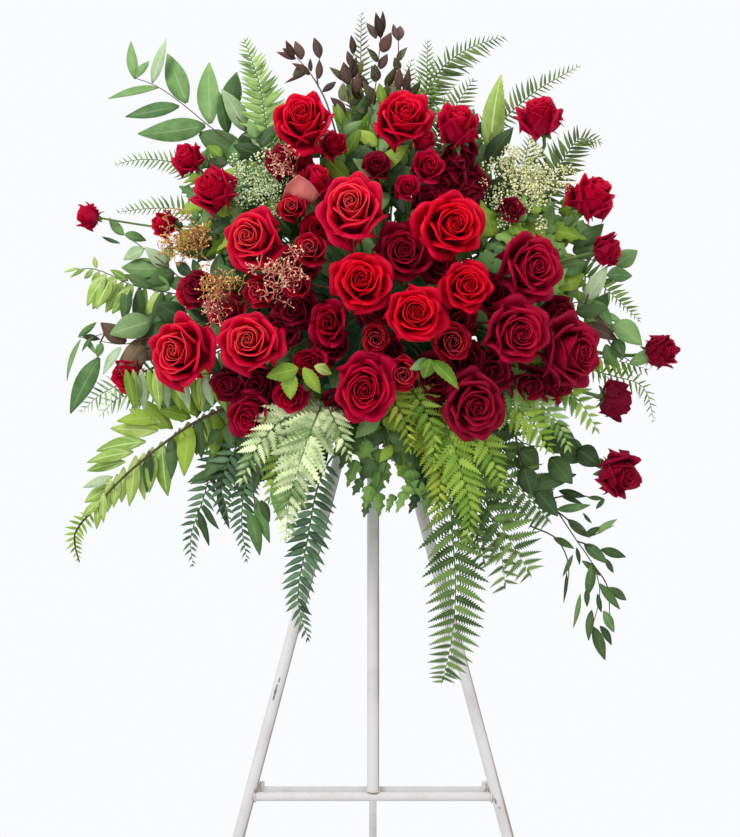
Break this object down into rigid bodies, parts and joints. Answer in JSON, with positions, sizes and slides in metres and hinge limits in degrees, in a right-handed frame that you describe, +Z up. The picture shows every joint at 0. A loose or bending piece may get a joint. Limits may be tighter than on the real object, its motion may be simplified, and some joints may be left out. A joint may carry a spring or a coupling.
{
  "type": "standing funeral flower arrangement",
  "caption": "Fan-shaped funeral spray of red roses, ferns and trailing foliage in a foam tray, tied to a white folding tripod easel.",
  "frame": {"origin": "on the floor under the middle of the whole piece", "axes": "+Z up; the flowers face -Y; +X is to the right of someone facing them"},
  "size_m": [0.8714, 0.7343, 1.8301],
  "materials": {
    "white_paint": "satin",
    "foot_rubber": "matte",
    "pin_zinc": "satin",
    "green_plastic": "matte",
    "floral_foam": "matte",
    "red_petal": "satin",
    "dark_petal": "satin",
    "fern_green": "matte",
    "leaf_green": "satin",
    "dark_leaf": "matte",
    "filler_cream": "matte"
  },
  "bodies": {
    "front_frame": {"centre_post": "white_paint", "cream_filler": "filler_cream", "dark_sprigs": "dark_leaf", "fern_low_centre_left": "fern_green", "fern_low_dark": "fern_green", "fern_low_left": "fern_green", "fern_low_right": "fern_green", "fern_top": "fern_green", "fern_top_right": "fern_green", "floral_foam": "floral_foam", "foam_tray": "green_plastic", "foot_left": "foot_rubber", "foot_right": "foot_rubber", "front_leg_left": "white_paint", "front_leg_right": "white_paint", "front_rail": "white_paint", "head_bracket": "white_paint", "hinge_pin": "pin_zinc", "rail_bracket_left": "white_paint", "rail_bracket_right": "white_paint", "rear_rail": "white_paint", "rose_bright_centre": "red_petal", "rose_centre": "red_petal", "rose_deep_centre": "dark_petal", "rose_far_right": "red_petal", "rose_far_top_right": "red_petal", "rose_inner_right": "red_petal", "rose_left_edge": "red_petal", "rose_left_middle": "red_petal", "rose_low_right": "red_petal", "rose_lower_left_dark": "dark_petal", "rose_lower_middle": "red_petal", "rose_lower_right": "red_petal", "rose_right_back": "dark_petal", "rose_right_bud": "red_petal", "rose_right_edge": "red_petal", "rose_right_middle": "red_petal", "rose_right_shoulder": "red_petal", "rose_side_left": "red_petal", "rose_side_right": "red_petal", "rose_top_left": "red_petal", "rose_top_right": "red_petal", "rose_upper_left": "red_petal", "rose_upper_middle": "red_petal", "rose_upper_right": "red_petal", "ruscus_left": "leaf_green", "ruscus_low_right": "leaf_green", "ruscus_top_left": "leaf_green", "spray_rose_dark_right": "dark_petal", "spray_rose_far_left": "dark_petal", "spray_rose_low_far_left": "dark_petal", "spray_rose_lower_left": "dark_petal", "spray_rose_middle": "dark_petal", "spray_rose_top_left": "dark_petal", "spray_rose_top_right": "dark_petal", "spray_rose_upper_left": "dark_petal", "tray_tie_lower": "green_plastic", "tray_tie_upper": "green_plastic"},
    "rear_leg": {"rear_leg": "white_paint", "foot_rear": "foot_rubber"}
  },
  "joints": [
    {"name": "rear_leg_fold", "type": "hinge", "parent": "front_frame", "child": "rear_leg", "pos_m": [0, -0.0357, 1.24967], "axis": [-1, 0, 0], "range_deg": [0, 26]}
  ]
}
